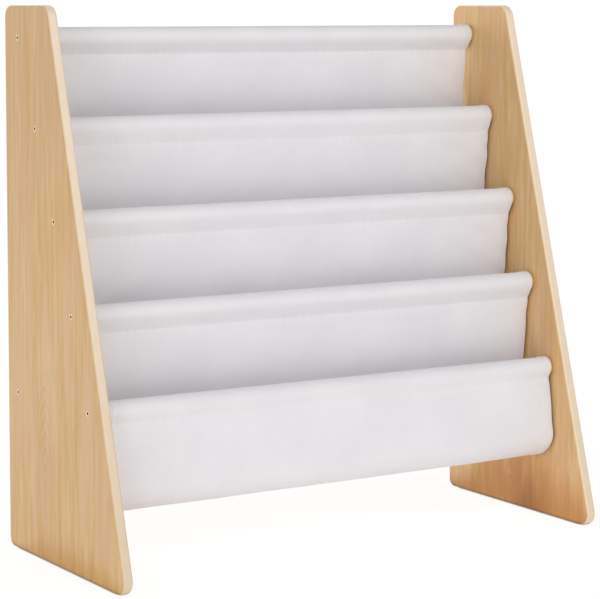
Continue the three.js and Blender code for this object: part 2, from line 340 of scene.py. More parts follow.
def bezier(a, b, c, d, steps=40):
    t = np.linspace(0, 1, steps)[:, None]
    return (1 - t) ** 3 * a + 3 * (1 - t) ** 2 * t * b + 3 * (1 - t) * t ** 2 * c + t ** 3 * d


def belly_line(pocket):
    """Round the bottom of a pocket, from the foot of its back wall to that of its front wall."""
    quarter_circle_share = 0.5523
    level = belly_level(pocket)
    back_top, back_foot = wall_top(pocket), np.array([back_wall_y(pocket, level), level])
    front_foot, front_top = front_wall(pocket)
    lowest = np.array([(back_foot[0] + front_foot[0]) / 2,
                       level - BELLY_HEIGHT + CAD_CLOTH_THICKNESS / 2])
    drop = (level - lowest[1]) * quarter_circle_share
    swing = np.array([(back_foot[0] - lowest[0]) * quarter_circle_share, 0])
    back = bezier(back_foot, back_foot + drop * unit(back_foot - back_top), lowest + swing, lowest)
    front = bezier(lowest, lowest - swing, front_foot + drop * unit(front_foot - front_top),
                   front_foot)
    return np.concatenate([back, front[1:]])


def lengths_along(line):
    steps = np.linalg.norm(np.diff(line, axis=0), axis=1)
    return np.concatenate([[0], np.cumsum(steps)])


def resampled(line, places):
    along = lengths_along(line)
    return np.stack([np.interp(places, along, line[:, k]) for k in range(line.shape[1])], 1)


def softened(line, softness, step):
    """The line at an even step with its creases rounded; its two ends stay."""
    count = round(lengths_along(line)[-1] / step)
    even = resampled(line, np.linspace(0, lengths_along(line)[-1], count + 1))
    reach = round(3 * softness / step)
    weights = np.exp(-0.5 * (np.arange(-reach, reach + 1) * step / softness) ** 2)
    weights /= weights.sum()
    before = 2 * even[0] - even[reach:0:-1]
    after = 2 * even[-1] - even[-2:-reach - 2:-1]
    padded = np.concatenate([before, even, after])
    return np.stack([np.convolve(padded[:, k], weights, "valid") for k in (0, 1)], 1)


def lap_line(rod, down):
    """The cloth's end below a seam, on the back of the wall that hangs there: from its edge up."""
    tip = wall_top(rod) + np.array([CLOTH_THICKNESS / 2, 0])
    return [tip + down * SEAM_LAP, tip + down * STITCH_BELOW_TIP[rod] / 2]


def hanging_line(rod, down):
    """The top of the wall in front of that lap, from the seam down to where it hangs alone."""
    tip = wall_top(rod)
    front = tip - np.array([CLOTH_THICKNESS / 2, 0])
    return [front + down * STITCH_BELOW_TIP[rod] / 2, front + down * SEAM_LAP,
            tip + down * 2 * SEAM_LAP]


def pocket_line(pocket):
    """The middle of one pocket's cloth, from the lap behind its rod, over the rod, down the back
    wall, round the belly and up the front wall; the lowest pocket goes on over the lowest rod."""
    belly = list(belly_line(pocket))
    down = unit(belly[0] - wall_top(pocket))
    points = [*lap_line(pocket, down), *tunnel_line(pocket), *hanging_line(pocket, down), *belly]
    front_foot, front_top = front_wall(pocket)
    if pocket < POCKETS - 1:
        return np.array([*points, front_top])
    down = unit(front_foot - front_top)
    points += hanging_line(pocket + 1, down)[::-1]
    points += [*tunnel_line(pocket + 1)[::-1], *lap_line(pocket + 1, down)[::-1]]
    return np.array(points)


# Canvas: its surface

def spread(start, end, spacing_at):
    """Places from start to end, as far apart as spacing_at says at each of them."""
    fine_count = 4000
    fine = np.linspace(start, end, fine_count)
    count = np.concatenate([[0], np.cumsum(np.diff(fine) / spacing_at((fine[1:] + fine[:-1]) / 2))])
    places = round(count[-1])
    return np.interp(np.linspace(0, count[-1], places + 1), count, fine)


def near(places, centres, reach):
    """1 at any of the centres and falling to 0 past the reach."""
    distance = np.min(np.abs(places[:, None] - np.atleast_1d(centres)[None, :]), axis=1)
    return np.exp(-(distance / reach) ** 2)


def smooth_step(value, low, high):
    t = np.clip((value - low) / (high - low), 0, 1)
    return t * t * (3 - 2 * t)


def waves(points, wavelength, seed, count=10):
    """A smooth random field of about unit height over points of any dimension."""
    rng = np.random.default_rng(seed)
    total = np.zeros(points.shape[:-1])
    for _ in range(count):
        direction = rng.normal(size=points.shape[-1])
        direction /= np.linalg.norm(direction)
        turns = points @ direction / (wavelength * rng.uniform(*WAVELENGTH_SHARES))
        total += np.sin(2 * math.pi * (turns + rng.uniform()))
    return total * math.sqrt(2 / count)


SEAM_TIPS = [wall_top(i) for i in range(RODS)]


def drape(points):
    """How canvas gives at a place: a slight waviness all over, small puckers beside each seam and
    soft pulls towards the ends. One field moves every layer, so layers that touch stay together."""
    x, y, z = points[..., 0], points[..., 1], points[..., 2]
    seam_pull = np.zeros(x.shape)
    for tip, below in zip(SEAM_TIPS, STITCH_BELOW_TIP):
        distance = np.hypot(y - tip[0], z - tip[1] + below)
        seam_pull = np.maximum(seam_pull, np.exp(-(distance / PUCKER_REACH) ** 2))
    rod_clearance = np.ones(x.shape)
    for axis in ROD_AXES:
        distance = np.hypot(y - axis[0], z - axis[1]) - TUNNEL_RADIUS
        rod_clearance = np.minimum(rod_clearance, smooth_step(distance, HELD_REACH, FREE_REACH))
    ends = np.exp(-(CLOTH_HALF_LENGTH - np.abs(x)) / END_PULL_REACH)
    along = np.stack([x], -1)
    puckers = PUCKER_HEIGHT * seam_pull * waves(along, PUCKER_PITCH, PUCKER_SEED)
    stretched = points * np.array(WAVE_STRETCH_SHARES)
    broad = rod_clearance * WAVE_HEIGHT * waves(stretched, WAVE_PITCH, WAVE_SEED)
    slant = np.stack([z + END_PULL_SLOPE * np.abs(x)], -1)
    pulls = rod_clearance * END_PULL_HEIGHT * ends * waves(slant, END_PULL_PITCH, END_PULL_SEED,
                                                           END_PULL_COUNT)
    moved = points.copy()
    moved[..., 1] += puckers + broad + pulls
    return moved


def new_piece(name, vertices, faces, material):
    """A named mesh that rides with the shelf and is shaded smooth."""
    mesh = bpy.data.meshes.new(name)
    mesh.vertices.add(len(vertices))
    mesh.vertices.foreach_set("co", np.asarray(vertices, np.float32).ravel())
    faces = np.asarray(faces, np.int32)
    mesh.loops.add(faces.size)
    mesh.loops.foreach_set("vertex_index", faces.ravel())
    mesh.polygons.add(len(faces))
    mesh.polygons.foreach_set("loop_start", np.arange(len(faces), dtype=np.int32) * faces.shape[1])
    mesh.polygons.foreach_set("use_smooth", np.ones(len(faces), bool))
    mesh.update(calc_edges=True)
    mesh.validate()
    piece = bpy.data.objects.new(name, mesh)
    bpy.context.scene.collection.objects.link(piece)
    mesh.materials.append(material)
    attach(piece, "root")
    return piece


class Pocket:
    """One pocket's cloth as a grid of places: rows along its line, columns along the rods."""

    def __init__(self, number):
        self.number = number
        self.line = softened(pocket_line(number), CREASE_SOFTNESS, LINE_STEP)
        self.along = lengths_along(self.line)
        self.length = self.along[-1]
        self.stitch_rows = self.find_stitch_rows()
        self.rows = spread(0, self.length, self.row_spacing)
        half = CLOTH_HALF_LENGTH
        self.columns = spread(-half, half, self.column_spacing)
        self.last_row = self.length - (SEAM_LAP if len(self.stitch_rows) > 1 else 0)

    def find_stitch_rows(self):
        """Places along the line where the seam is stitched through the wall in front."""
        found = []
        rods = [self.number] + ([self.number + 1] if self.number == POCKETS - 1 else [])
        for rod in rods:
            tip = wall_top(rod) - np.array([CLOTH_THICKNESS / 2, STITCH_BELOW_TIP[rod]])
            distance = np.hypot(*(self.line - tip).T)
            found.append(self.along[np.argmin(distance)])
        return found

    def row_spacing(self, places):
        seam = near(places, self.stitch_rows, SEAM_FINE_REACH)
        edge = near(places, [0, self.length], EDGE_FINE_REACH)
        return ROW_SPACING - ROW_NARROWING * np.maximum(seam, edge)

    def column_spacing(self, places):
        hem = near(np.abs(places), CLOTH_HALF_LENGTH - HEM_STITCH_INSET, HEM_FINE_REACH)
        edge = near(np.abs(places), CLOTH_HALF_LENGTH, EDGE_FINE_REACH)
        return COLUMN_SPACING - COLUMN_NARROWING * np.maximum(hem, edge)

    def middle(self, columns, rows):
        """Places (x, y, z) in the middle of the cloth, at columns and rows of equal shape. The belly
        sags most between the ends, and that of the lowest pocket more, and most at its left end."""
        y = np.interp(rows, self.along, self.line[:, 0])
        z = np.interp(rows, self.along, self.line[:, 1])
        held_z, free_z = front_wall(self.number)[1][1], belly_level(self.number)
        freedom = np.clip((held_z - z) / (held_z - free_z), 0, 1)
        place = columns / CLOTH_HALF_LENGTH
        z = z - BELLY_SAG * freedom * (1 - place ** 2)
        if self.number == POCKETS - 1:
            z = z - freedom * (LOWEST_SAG + LOWEST_LEFT_SAG * ((1 - place) / 2) ** 3)
        return drape(np.stack([columns, y, z], -1))

    def normals(self, columns, rows):
        """Unit normals, towards the side that is in front on a back wall and outside on its tunnel."""
        step = 0.5 * MM
        low, high = np.maximum(rows - step, 0), np.minimum(rows + step, self.length)
        down = self.middle(columns, high) - self.middle(columns, low)
        across = self.middle(columns + step, rows) - self.middle(columns - step, rows)
        normal = np.cross(down, across)
        return normal / np.linalg.norm(normal, axis=-1, keepdims=True)

    def offsets(self, columns, rows):
        """How far the cloth's two faces lie from its middle: the hem at each end is folded over
        outside the tunnels and behind the walls, and every edge and line of stitches is drawn in."""
        first = self.stitch_rows[0]
        inset = CLOTH_HALF_LENGTH - np.abs(columns)
        hem = HEM_EXTRA * smooth_step(-inset, -HEM_WIDTH - HEM_SLOPE, -HEM_WIDTH + HEM_SLOPE)
        clear = np.min([np.abs(rows - place) for place in self.stitch_rows], axis=0)
        within = np.minimum(rows - SEAM_LAP, self.last_row - rows)
        clear = smooth_step(clear, SEAM_FLAT_REACH, SEAM_SLOPE_REACH)
        clear = clear * smooth_step(within, 0, HEM_END_SLOPE)
        below_lap = smooth_step(rows - first, SEAM_LAP, SEAM_LAP + LAP_END_SLOPE)
        from_stitches = [inset - HEM_STITCH_INSET, *(rows - place for place in self.stitch_rows)]
        groove = STITCH_GROOVE * np.max(
            [np.exp(-(distance / GROOVE_HALF_WIDTH) ** 2) for distance in from_stitches], axis=0)
        front = CLOTH_THICKNESS / 2 + hem * clear * (rows < first) - groove
        back = CLOTH_THICKNESS / 2 + hem * clear * below_lap - groove
        edge = np.minimum(inset, np.minimum(rows, self.length - rows)) / (CLOTH_THICKNESS / 2)
        rounded = np.sqrt(np.clip(1 - (1 - np.clip(edge, 0, 1)) ** 2, 0, 1))
        return front * rounded, back * rounded

    def faces_of(self, columns, rows):
        """Places on the cloth's front and back face."""
        middle, normal = self.middle(columns, rows), self.normals(columns, rows)
        front, back = self.offsets(columns, rows)
        return middle + normal * front[..., None], middle - normal * back[..., None]

    def make(self, material):
        """The cloth as a closed mesh whose two faces share their borders."""
        columns, rows = np.meshgrid(self.columns, self.rows)
        front, back = self.faces_of(columns, rows)
        count = columns.size
        front_index = np.arange(count).reshape(columns.shape)
        back_index = front_index + count
        border = np.ones(columns.shape, bool)
        border[1:-1, 1:-1] = False
        back_index[border] = front_index[border]
        used, joined = np.unique(np.concatenate([quads(front_index, True), quads(back_index, False)]),
                                 return_inverse=True)
        vertices = np.concatenate([front.reshape(-1, 3), back.reshape(-1, 3)])[used]
        places = np.stack([columns.ravel(), rows.ravel()], 1)
        piece = new_piece(f"canvas_pocket_{self.number + 1}", vertices, joined.reshape(-1, 4),
                          material)
        add_cloth_map(piece, np.concatenate([places, places])[used])
        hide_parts(f"sling_pocket_{self.number + 1}")
        return piece


def quads(index, turned):
    corners = [index[:-1, :-1], index[:-1, 1:], index[1:, 1:], index[1:, :-1]]
    if turned:
        corners.reverse()
    return np.stack([c.ravel() for c in corners], 1)


def add_cloth_map(piece, places):
    """A UV map that holds each vertex's place in the flat cloth, in metres."""
    mesh = piece.data
    vertex = np.zeros(len(mesh.loops), np.int32)
    mesh.loops.foreach_get("vertex_index", vertex)
    mesh.uv_layers.new(name=CLOTH_MAP).uv.foreach_set("vector", places[vertex].astype(np.float32).ravel())


# Stitches

def thread_mesh(centres, along, outward):
    """Vertices and faces of one short stitch at each centre: a bowed thread, sunk at both ends."""
    rings, sides = 5, 6
    across = np.cross(along, outward)
    vertices = []
    for t in np.linspace(-1, 1, rings):
        height = THREAD_RADIUS * (THREAD_HEIGHT - THREAD_BOW * t * t)
        ring_centre = centres + along * t * STITCH_LENGTH / 2 + outward * height
        for angle in np.arange(sides) * 2 * math.pi / sides:
            spoke = across * math.cos(angle) + outward * math.sin(angle)
            vertices.append(ring_centre + spoke * THREAD_RADIUS)
    stitches = np.stack(vertices, 1)
    ring = np.arange(sides)
    faces = []
    for first in np.arange(rings - 1) * sides:
        after = np.roll(ring, -1)
        faces += list(np.stack([first + ring, first + sides + ring, first + sides + after,
                                first + after], 1))
    last = (rings - 1) * sides
    faces += [[0, 1, 2, 3], [0, 3, 4, 5], [last + 3, last + 2, last + 1, last],
              [last + 5, last + 4, last + 3, last]]
    starts = np.arange(len(centres))[:, None, None] * rings * sides
    return stitches.reshape(-1, 3), (starts + np.array(faces)).reshape(-1, 4)


def stitch_line(pocket, columns, rows, side):
    """Stitches on one face of the cloth, each lying from one place of the line to the next."""
    faces = pocket.faces_of(columns, rows)[side]
    normal = pocket.normals(columns, rows) * (1 if side == FRONT else -1)
    along = np.gradient(faces, axis=0)
    along /= np.linalg.norm(along, axis=1, keepdims=True)
    outward = normal - along * np.sum(normal * along, axis=1, keepdims=True)
    outward /= np.linalg.norm(outward, axis=1, keepdims=True)
    return faces, along, outward


def stitches_of(pocket, thread):
    """All the stitches of one pocket: its seams, and the hems down its two ends."""
    half = CLOTH_HALF_LENGTH
    reach = half - STITCH_END_INSET
    count = round(2 * reach / STITCH_PITCH)
    across = np.linspace(-reach, reach, count)
    lines = [stitch_line(pocket, across, np.full(count, row), FRONT) for row in pocket.stitch_rows]
    if pocket.number == 0:
        row = SEAM_LAP - STITCH_BELOW_TIP[0]
        lines.append(stitch_line(pocket, across, np.full(count, row), FRONT))
    if pocket.number == POCKETS - 1:
        row = pocket.length - SEAM_LAP + STITCH_BELOW_TIP[-1]
        lines.append(stitch_line(pocket, across, np.full(count, row), FRONT))
    else:
        row = pocket.length - WALL_END_STITCH
        lines.append(stitch_line(pocket, across, np.full(count, row), BACK))
    down_count = round((pocket.last_row - SEAM_LAP) / STITCH_PITCH)
    down = np.linspace(SEAM_LAP, pocket.last_row, down_count)
    for column in (HEM_STITCH_INSET - half, half - HEM_STITCH_INSET):
        for side in (FRONT, BACK):
            lines.append(stitch_line(pocket, np.full(down_count, column), down, side))
    centres, along, outward = (np.concatenate(parts) for parts in zip(*lines))
    vertices, faces = thread_mesh(centres, along, outward)
    return new_piece(f"stitches_{pocket.number + 1}", vertices, faces, thread)


# Materials

def new_material(name, **values):
    """A material with its tree and its Principled shader, whose inputs are named in lower case."""
    material = bpy.data.materials.new(name)
    material.use_nodes = True
    shader = material.node_tree.nodes["Principled BSDF"]
    for key, value in values.items():
        shader.inputs[key.replace("_", " ").title().replace("Ior", "IOR")].default_value = value
    return material, material.node_tree, shader


def add(tree, kind, inputs, output=0, **settings):
    """A node with its inputs set to numbers or linked to other nodes' outputs; gives its output."""
    made = tree.nodes.new(kind)
    for key, value in settings.items():
        setattr(made, key, value)
    for key, value in inputs.items():
        if isinstance(value, bpy.types.NodeSocket):
            tree.links.new(value, made.inputs[key])
        else:
            made.inputs[key].default_value = value
    return made.outputs[output]


def math_of(tree, operation, a, b=0.0, c=0.0):
    return add(tree, "ShaderNodeMath", {0: a, 1: b, 2: c}, operation=operation)


def ranged(tree, value, low, high, to_low=0.0, to_high=1.0):
    """A value mapped smoothly from one range to another."""
    return add(tree, "ShaderNodeMapRange", {"Value": value, "From Min": low, "From Max": high,
                                            "To Min": to_low, "To Max": to_high},
               interpolation_type="SMOOTHSTEP")


def mixed(tree, share, a, b, blend="MIX"):
    """Two colours mixed; the node's colour sockets are 6 and 7, and its colour output is 2."""
    return add(tree, "ShaderNodeMix", {0: share, 6: a, 7: b}, 2, data_type="RGBA", blend_type=blend)


def noise_of(tree, vector, scale, detail=2.0, roughness=0.5, distortion=0.0):
    return add(tree, "ShaderNodeTexNoise", {"Vector": vector, "Scale": scale, "Detail": detail,
                                            "Roughness": roughness, "Distortion": distortion})


def placed(tree, location, rotation=(0, 0, 0), scale=(1, 1, 1)):
    """The object's own coordinates, in metres, moved, turned and stretched."""
    place = add(tree, "ShaderNodeTexCoord", {}, "Object")
    return add(tree, "ShaderNodeMapping", {"Vector": place, "Location": location,
                                           "Rotation": rotation, "Scale": scale})


def bump(tree, shader, height, distance, strength):
    normal = add(tree, "ShaderNodeBump", {"Height": height, "Distance": distance,
                                          "Strength": strength})
    tree.links.new(normal, shader.inputs["Normal"])


def axis_of(tree, vector, axis):
    """One of a vector's three numbers."""
    split = tree.nodes.new("ShaderNodeSeparateXYZ")
    tree.links.new(vector, split.inputs[0])
    return split.outputs[axis]


def soft_spot(tree, middle, half_size):
    """1 round a place (y, z) on a board's face, falling to 0 at an upright ellipse."""
    (y, z), (half_width, half_height) = middle, half_size
    spot = placed(tree, (0, -y / half_width, -z / half_height),
                  scale=(0, 1 / half_width, 1 / half_height))
    distance = add(tree, "ShaderNodeVectorMath", {0: spot}, "Value", operation="LENGTH")
    return ranged(tree, distance, SPOT_CORE_SHARE, 1.0, 1.0, 0.0)


def growth_rings(tree, drift, face_x, figure):
    """Growth rings where they run out of a board's face in nested arches, 0 in early wood and 1 at
    the end of each ring. A ring is a distance from the log's pith, which comes out at the foot of
    the figure and leans away above it; the rings fade round the figure."""
    middle_y, middle_z = figure
    from_foot = placed(tree, (-face_x, -middle_y, FIGURE_HALF_SIZE[1] - middle_z))
    log = add(tree, "ShaderNodeMapping", {"Vector": from_foot, "Location": (PITH_DEPTH, 0, 0),
                                          "Rotation": (0, LOG_TILT, 0)})
    wandering = add(tree, "ShaderNodeVectorMath",
                    {0: drift, 1: (RING_WANDER, RING_WANDER, 0), 2: log}, operation="MULTIPLY_ADD")
    flat = add(tree, "ShaderNodeVectorMath", {0: wandering, 1: (1, 1, 0)}, operation="MULTIPLY")
    distance = add(tree, "ShaderNodeVectorMath", {0: flat}, "Value", operation="LENGTH")
    year = math_of(tree, "FRACT", math_of(tree, "DIVIDE", distance, RING_PITCH))
    late = math_of(tree, "MULTIPLY", ranged(tree, year, *RING_DEEPENING),
                   ranged(tree, year, *RING_ENDING, 1.0, 0.0))
    return math_of(tree, "MULTIPLY", late, soft_spot(tree, figure, FIGURE_HALF_SIZE))


def off_line(tree, here, middle_y):
    """Distance across a board from an upright line."""
    return math_of(tree, "ABSOLUTE", math_of(tree, "SUBTRACT", axis_of(tree, here, 1), middle_y))


def amber_and_shade_of(tree, here, normal_x, look):
    """How far a board turns amber, partly the wood's own tone and, on the right board, partly painted
    shade from the sling: from the floor up in uneven columns, tallest round the middle of its foot,
    and less on the face that looks right."""
    half_width, top = look["amber_half_width"], look["amber_height"]
    place = placed(tree, look["place"], scale=(1, 1, AMBER_COLUMN_STRETCH))
    columns = noise_of(tree, place, AMBER_COLUMN_SCALE, AMBER_COLUMN_DETAIL)
    low, high = AMBER_HEIGHT_SHARES
    reach = math_of(tree, "MULTIPLY", ranged(tree, columns, *NOISE_RANGE, low * top, high * top),
                    ranged(tree, off_line(tree, here, look["amber_middle"]),
                           AMBER_CORE_SHARE * half_width, half_width, 1.0, AMBER_SIDE_SHARE))
    share = ranged(tree, math_of(tree, "DIVIDE", axis_of(tree, here, 2), reach), 0.0, 1.0, 1.0, 0.0)
    to_left = ranged(tree, normal_x, -1.0, 0.0, 1.0, FAR_FACE_SHARE)
    return math_of(tree, "MULTIPLY", share, to_left)


def board_face(tree, face, sanded, look):
    """A standing board's colour: amber towards the floor, partly the wood's own tone and, on the right
    board, partly painted shade from the sling, with the deepest painted shade under the middle of its
    foot; a little deeper towards its top, which on the right board is painted shade from the recess;
    sanded edges between arrises that a painted highlight makes paler on the right board; and painted
    shade along the foot where it meets the floor."""
    here = placed(tree, (0, 0, 0))
    height = axis_of(tree, here, 2)
    normal_x = axis_of(tree, add(tree, "ShaderNodeNewGeometry", {}, "Normal"), 0)
    sideways = math_of(tree, "ABSOLUTE", normal_x)

    amber_and_shade = amber_and_shade_of(tree, here, normal_x, look)
    face = mixed(tree, amber_and_shade, face, (*look["amber"], 1), "MULTIPLY")
    # Deepest painted shade, under the middle of the foot
    off_deepest_shade = off_line(tree, here, DEEPEST_SHADE_MIDDLE)
    deepest_shade = math_of(tree, "MULTIPLY", math_of(tree, "POWER", amber_and_shade, DEEPEST_SHADE_SHARPNESS),
                    ranged(tree, off_deepest_shade, 0.0, DEEPEST_SHADE_HALF_WIDTH, 1.0, 0.0))
    face = mixed(tree, deepest_shade, face, (*look["deepest_shade"], 1), "MULTIPLY")
    # Darker towards the top; on the right board this is painted shade from the recess
    deepened = ranged(tree, height, look["top_from"], look["top_to"])
    face = mixed(tree, deepened, face, (*look["top"], 1), "MULTIPLY")

    low_edge = ranged(tree, height, 0.0, EDGE_TONE_HEIGHT, 1.0, 0.0)
    sanded = mixed(tree, low_edge, sanded, (*look["edge_foot"], 1), "MULTIPLY")
    face = mixed(tree, ranged(tree, sideways, *EDGE_TO_FACE, 1.0, 0.0), face, sanded)
    # Painted highlight along the arrises, on the right board only
    arris_highlight = math_of(tree, "MULTIPLY", ranged(tree, sideways, *ARRIS_FROM_EDGE),
                    ranged(tree, sideways, *ARRIS_TO_FACE, 1.0, 0.0))
    face = mixed(tree, math_of(tree, "MULTIPLY", arris_highlight, look["arris_highlight"]), face, (*ARRIS_HIGHLIGHT, 1))
    # Painted shade along the foot where the board meets the floor
    foot_shade_share = ranged(tree, height, *FOOT_SHADE_RANGE, 1.0, 0.0)
    return mixed(tree, foot_shade_share, face, (*FOOT_SHADE, 1), "MULTIPLY")


def grain_layers(tree, stretched):
    """The layers of the grain by name, each a number from 0 to 1."""
    layers = {}
    for name, (scale, stretch, detail, distortion, low, high) in GRAIN_LAYERS.items():
        noise = noise_of(tree, stretched(stretch), scale, detail, GRAIN_ROUGHNESS, distortion)
        layers[name] = ranged(tree, noise, low, high)
    return layers


def wood(name, look, board=None):
    """Lacquered maple: soft bands some centimetres wide that shift from yellow to pink, streaks a
    few millimetres wide, short dark marks and fine fibres, along a rod or up a board, and a
    board's growth rings and tones. The look's place picks the stretch of wood."""
    material, tree, shader = new_material(name, specular_ior_level=0.45)
    grain_axis = 2 if board else 0

    def stretched(share):
        scale = [share if axis == grain_axis else 1.0 for axis in range(3)]
        return placed(tree, look["place"], scale=scale)

    layers = grain_layers(tree, stretched)
    depth = 0.0
    for key, share in GRAIN_DEPTHS.items():
        depth = math_of(tree, "MULTIPLY_ADD", layers[key], share, depth)
    warm = layers["warm"]
    if board:
        drift = add(tree, "ShaderNodeTexNoise", {"Vector": stretched(DRIFT_STRETCH), "Detail": 1.0,
                                                 "Scale": DRIFT_SCALE}, "Color")
        rings = growth_rings(tree, drift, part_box(board)[0].x, look["figure"])
        depth = math_of(tree, "MULTIPLY_ADD", rings, RING_DEPTH, depth)
        for middle, half_size in look["warm_spots"]:
            warm = math_of(tree, "MAXIMUM", warm, soft_spot(tree, middle, half_size))

    pale = (*look["pale"], 1)
    face = mixed(tree, depth, pale, (*look["deep"], 1))
    pink = math_of(tree, "MULTIPLY", layers["tint"], PINK_SHARE)
    face = mixed(tree, pink, face, (*look["pink"], 1))
    face = mixed(tree, math_of(tree, "MULTIPLY", warm, WARM_SHARE), face, (*WARM_TONE, 1), "MULTIPLY")
    if board:
        for middle, half_size in look["pale_spots"]:
            face = mixed(tree, soft_spot(tree, middle, half_size), face, (*PALE_TONE, 1), "MULTIPLY")
        grain = math_of(tree, "MULTIPLY", depth, EDGE_GRAIN_SHARE)
        face = board_face(tree, face, mixed(tree, grain, (*BOARD_EDGE, 1), pale), look)
    streaks, fibres = layers["streaks"], layers["fibres"]
    tree.links.new(face, shader.inputs["Base Color"])
    tree.links.new(ranged(tree, streaks, 0.0, 1.0, *WOOD_ROUGHNESS), shader.inputs["Roughness"])
    relief = math_of(tree, "MULTIPLY_ADD", fibres, FIBRE_BUMP_SHARE, streaks)
    bump(tree, shader, relief, WOOD_BUMP, WOOD_BUMP_STRENGTH)
    return material


def canvas_cloth():
    """White plain-woven cotton canvas: round threads that go over and under each other, with
    slightly uneven yarn."""
    material, tree, shader = new_material("white_canvas", roughness=0.88, specular_ior_level=0.2,
                                          sheen_weight=0.12, sheen_roughness=0.6)
    place = add(tree, "ShaderNodeUVMap", {}, uv_map=CLOTH_MAP)
    threads = add(tree, "ShaderNodeVectorMath", {0: place, "Scale": math.pi / THREAD_PITCH},
                  operation="SCALE")
    warp = math_of(tree, "SINE", axis_of(tree, threads, 0))
    weft = math_of(tree, "SINE", axis_of(tree, threads, 1))
    over = ranged(tree, math_of(tree, "MULTIPLY", warp, weft), -CROSSING_SOFTNESS, CROSSING_SOFTNESS)
    crossing = add(tree, "ShaderNodeMix", {0: over, 2: math_of(tree, "ABSOLUTE", warp),
                                           3: math_of(tree, "ABSOLUTE", weft)})
    along_yarn = add(tree, "ShaderNodeVectorMath", {0: place, 1: YARN_SCALE}, operation="MULTIPLY")
    yarn = noise_of(tree, along_yarn, 1.0)
    mottle = noise_of(tree, place, MOTTLE_SCALE, MOTTLE_DETAIL, MOTTLE_ROUGHNESS)
    light = mixed(tree, ranged(tree, mottle, *NOISE_RANGE), (*CANVAS_PALE, 1), (*CANVAS_DEEP, 1))
    shade = ranged(tree, crossing, 0.0, 1.0, *WEAVE_SHADES)
    grey = add(tree, "ShaderNodeCombineColor", {0: shade, 1: shade, 2: shade})
    tree.links.new(mixed(tree, 1.0, light, grey, "MULTIPLY"), shader.inputs["Base Color"])
    relief = math_of(tree, "MULTIPLY_ADD", yarn, YARN_SHARE, crossing)
    bump(tree, shader, relief, WEAVE_BUMP, WEAVE_BUMP_STRENGTH)
    return material


def sewing_thread():
    """White twisted thread."""
    material, tree, shader = new_material("white_thread", roughness=0.6, specular_ior_level=0.35)
    twist = add(tree, "ShaderNodeTexWave", {"Vector": placed(tree, (0, 0, 0)), "Scale": TWIST_SCALE,
                                            "Distortion": 1.0},
                "Fac", wave_type="BANDS", bands_direction="DIAGONAL")
    colour = mixed(tree, twist, (*THREAD_DEEP, 1), (*THREAD_PALE, 1))
    tree.links.new(colour, shader.inputs["Base Color"])
    bump(tree, shader, twist, TWIST_BUMP, TWIST_BUMP_STRENGTH)
    return material


def screw_steel():
    """Warm zinc-plated steel with fine turning marks, with painted shade down in the driving socket."""
    material, tree, shader = new_material("zinc_plate", metallic=1.0)
    place = placed(tree, (0, 0, 0))
    cloud = noise_of(tree, place, CLOUD_SCALE, CLOUD_DETAIL, CLOUD_ROUGHNESS)
    marks = noise_of(tree, place, TURNING_SCALE)
    outwards = math_of(tree, "ABSOLUTE", axis_of(tree, place, 0))
    outer_face = float(cad_high.x)
    # Painted shade down in the driving socket
    socket = ranged(tree, outwards, outer_face - SOCKET_DEEP, outer_face - SOCKET_SHALLOW, 1.0, 0.0)
    plate = mixed(tree, ranged(tree, cloud, *NOISE_RANGE), (*STEEL_PALE, 1), (*STEEL_DEEP, 1))
    tree.links.new(mixed(tree, socket, plate, (*SOCKET_SHADE, 1)), shader.inputs["Base Color"])
    roughness = ranged(tree, cloud, *NOISE_RANGE, *STEEL_ROUGHNESS)
    tree.links.new(roughness, shader.inputs["Roughness"])
    bump(tree, shader, marks, STEEL_BUMP, STEEL_BUMP_STRENGTH)
    return material


# The frame's own pieces: their edges are shaded as the smooth rounds that they are

def smooth_edges():
    """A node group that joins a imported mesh's loose facets and shades it smooth up to an angle."""
    group = bpy.data.node_groups.new("smooth_edges", "GeometryNodeTree")
    group.interface.new_socket("Geometry", in_out="INPUT", socket_type="NodeSocketGeometry")
    group.interface.new_socket("Geometry", in_out="OUTPUT", socket_type="NodeSocketGeometry")
    start = group.nodes.new("NodeGroupInput")
    shape = add(group, "GeometryNodeRemoveAttribute",
                {"Geometry": start.outputs[0], "Name": "custom_normal"})
    shape = add(group, "GeometryNodeMergeByDistance", {"Geometry": shape, "Distance": MERGE_DISTANCE})
    shape = add(group, "GeometryNodeSetShadeSmooth", {0: shape, 2: True}, domain="FACE")
    angle = add(group, "GeometryNodeInputMeshEdgeAngle", {})
    flat_enough = add(group, "FunctionNodeCompare", {0: angle, 1: SMOOTH_ANGLE},
                      data_type="FLOAT", operation="LESS_EQUAL")
    shape = add(group, "GeometryNodeSetShadeSmooth", {0: shape, 2: flat_enough}, domain="EDGE")
    end = group.nodes.new("NodeGroupOutput")
    group.links.new(shape, end.inputs[0])
    return group


def finish_node(name, material, edges):
    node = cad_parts[name]
    node.data.materials.clear()
    node.data.materials.append(material)
    node.modifiers.new("smooth_edges", "NODES").node_group = edges
    weighted = node.modifiers.new("weighted_normals", "WEIGHTED_NORMAL")
    weighted.keep_sharp = True


# Studio

def add_lamp(name, place, size, power, gloss=True):
    """A soft square lamp that looks at the middle of the shelf, with or without its reflection."""
    data = bpy.data.lights.new(name, "AREA")
    data.shape, data.size, data.energy = "SQUARE", size, power
    lamp = bpy.data.objects.new(name, data)
    lamp.visible_glossy = gloss
    bpy.context.scene.collection.objects.link(lamp)
    middle = (cad_low + cad_high) / 2
    lamp.location = place
    lamp.rotation_euler = (middle - Vector(place)).to_track_quat("-Z", "Y").to_euler()


def behind_everything(tree):
    """1 for a ray that should meet plain white: the camera's own, a glossy one or one let through."""
    path = tree.nodes.new("ShaderNodeLightPath")
    seen = math_of(tree, "MAXIMUM", path.outputs["Is Camera Ray"], path.outputs["Is Glossy Ray"])
    return math_of(tree, "MAXIMUM", seen, path.outputs["Is Transmission Ray"])


